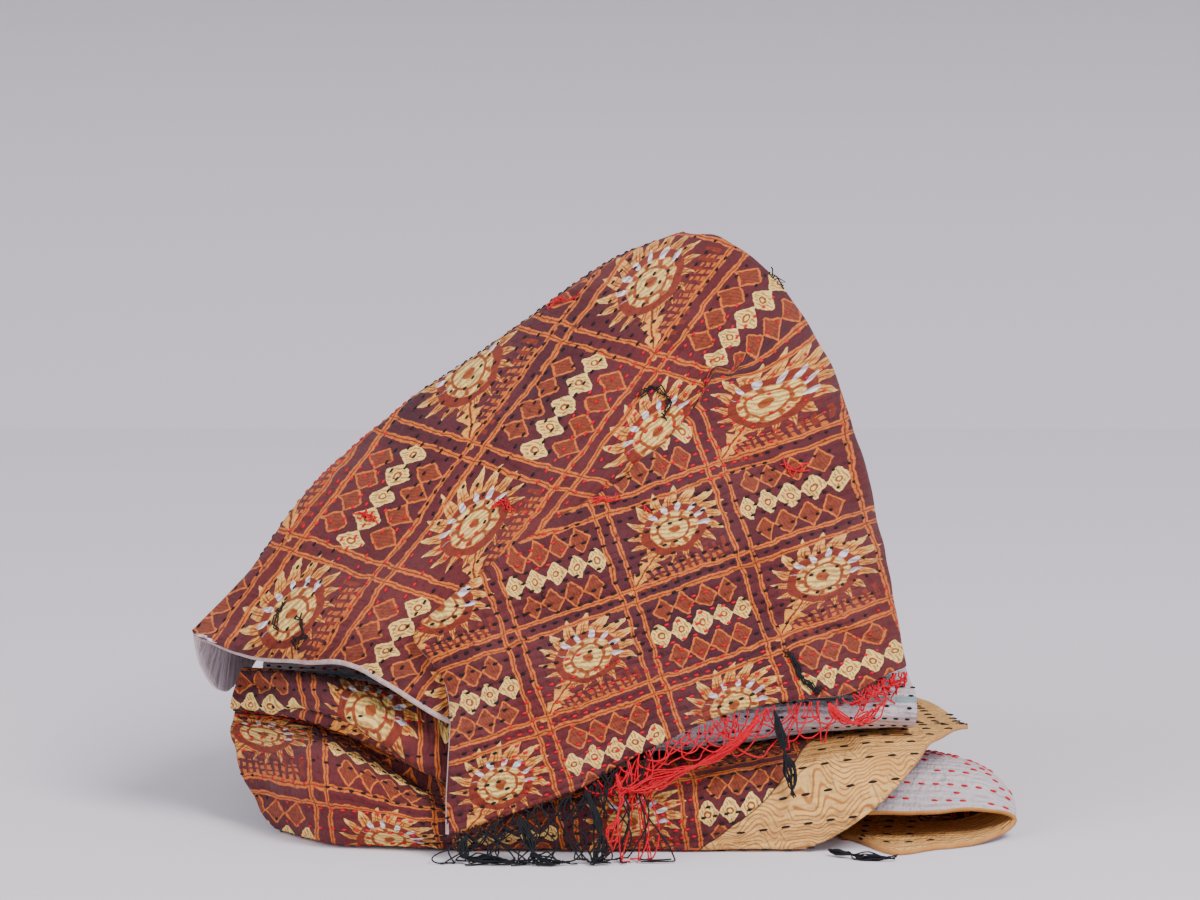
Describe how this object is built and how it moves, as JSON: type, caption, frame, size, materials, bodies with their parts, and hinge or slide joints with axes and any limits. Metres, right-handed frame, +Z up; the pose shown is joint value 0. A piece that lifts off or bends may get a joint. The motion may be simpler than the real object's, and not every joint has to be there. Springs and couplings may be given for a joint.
{
  "type": "kantha quilt",
  "caption": "Soft quilted cotton throw, pulled up to a peak over the folded pile of its own lower half, with loose thread ends at the front hem.",
  "frame": {"origin": "on the floor, under the middle of the quilt's outer box", "axes": "+X to the right of the front flap along the pile's length, +Y to the back, +Z up"},
  "size_m": [0.5171, 0.358, 0.3725],
  "materials": {
    "printed_cotton": "matt",
    "black_thread": "matt",
    "red_thread": "matt"
  },
  "bodies": {
    "root": {"quilt": "printed_cotton", "tail_black_corner": "black_thread", "tail_black_left": "black_thread", "tail_black_middle": "black_thread", "tail_red_left": "red_thread", "tail_red_swag": "red_thread", "tail_black_right": "black_thread", "tail_red_right": "red_thread", "tuft_floor": "black_thread"}
  },
  "joints": []
}
